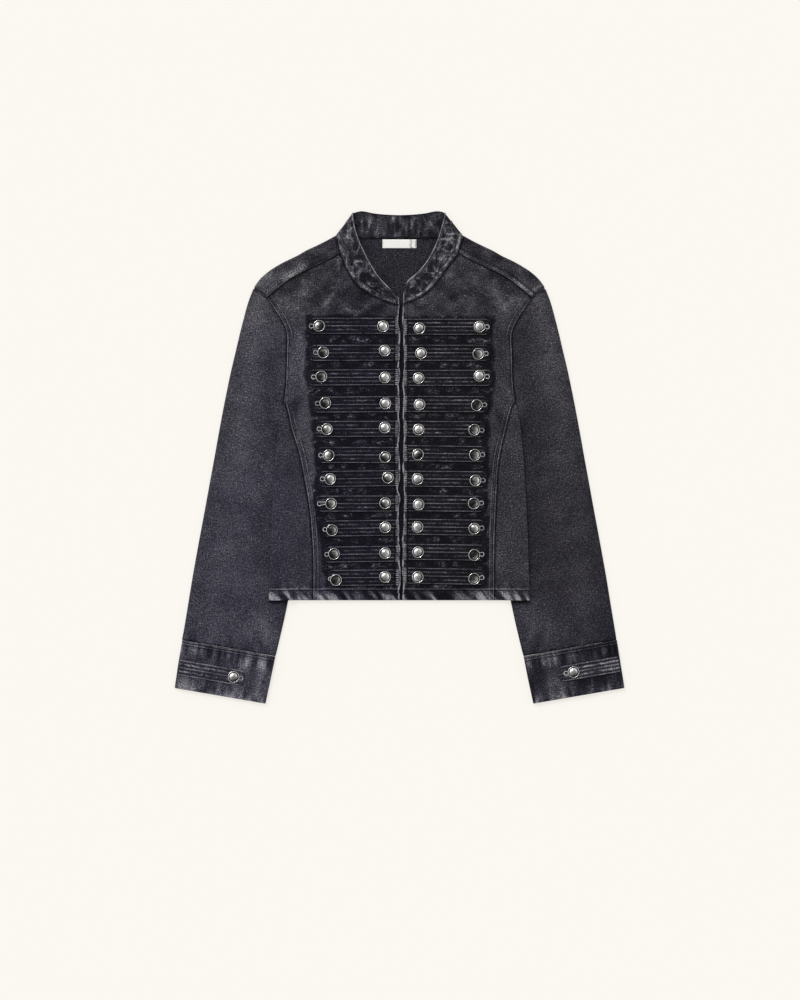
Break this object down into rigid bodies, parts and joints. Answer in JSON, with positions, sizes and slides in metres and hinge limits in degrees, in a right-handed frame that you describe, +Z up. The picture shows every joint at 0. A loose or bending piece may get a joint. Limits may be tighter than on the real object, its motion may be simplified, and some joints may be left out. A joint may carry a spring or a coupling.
{
  "type": "denim jacket",
  "caption": "Cropped denim jacket with a stand collar, long cuffed sleeves and buttoned straps across both fronts, lying flat.",
  "frame": {"origin": "on the surface it lies on, under the middle of its overall width and length", "axes": "+Z up, out of the jacket's front; +Y from the hem towards the collar; +X towards the wearer's left"},
  "size_m": [0.6518, 0.7134, 0.0125],
  "materials": {
    "denim": "washed twill",
    "strap_denim": "washed twill, channel stitched",
    "studs": "antique silver",
    "label": "woven cotton"
  },
  "bodies": {
    "root": {"back": "denim", "collar": "denim", "front_left": "denim", "side_left": "denim", "sleeve_left": "denim", "cuff_left": "denim", "front_right": "denim", "side_right": "denim", "sleeve_right": "denim", "cuff_right": "denim", "strap_left_01": "strap_denim", "strap_left_02": "strap_denim", "strap_left_03": "strap_denim", "strap_left_04": "strap_denim", "strap_left_05": "strap_denim", "strap_left_06": "strap_denim", "strap_left_07": "strap_denim", "strap_left_08": "strap_denim", "strap_left_09": "strap_denim", "strap_left_10": "strap_denim", "strap_left_11": "strap_denim", "strap_right_01": "strap_denim", "strap_right_02": "strap_denim", "strap_right_03": "strap_denim", "strap_right_04": "strap_denim", "strap_right_05": "strap_denim", "strap_right_06": "strap_denim", "strap_right_07": "strap_denim", "strap_right_08": "strap_denim", "strap_right_09": "strap_denim", "strap_right_10": "strap_denim", "strap_right_11": "strap_denim", "tab_left": "strap_denim", "tab_right": "strap_denim", "stud_left_01": "studs", "stud_left_02": "studs", "stud_left_03": "studs", "stud_left_04": "studs", "stud_left_05": "studs", "stud_left_06": "studs", "stud_left_07": "studs", "stud_left_08": "studs", "stud_left_09": "studs", "stud_left_10": "studs", "stud_left_11": "studs", "stud_right_01": "studs", "stud_right_02": "studs", "stud_right_03": "studs", "stud_right_04": "studs", "stud_right_05": "studs", "stud_right_06": "studs", "stud_right_07": "studs", "stud_right_08": "studs", "stud_right_09": "studs", "stud_right_10": "studs", "stud_right_11": "studs", "tab_stud_left": "studs", "tab_stud_right": "studs", "label": "label"}
  },
  "joints": []
}
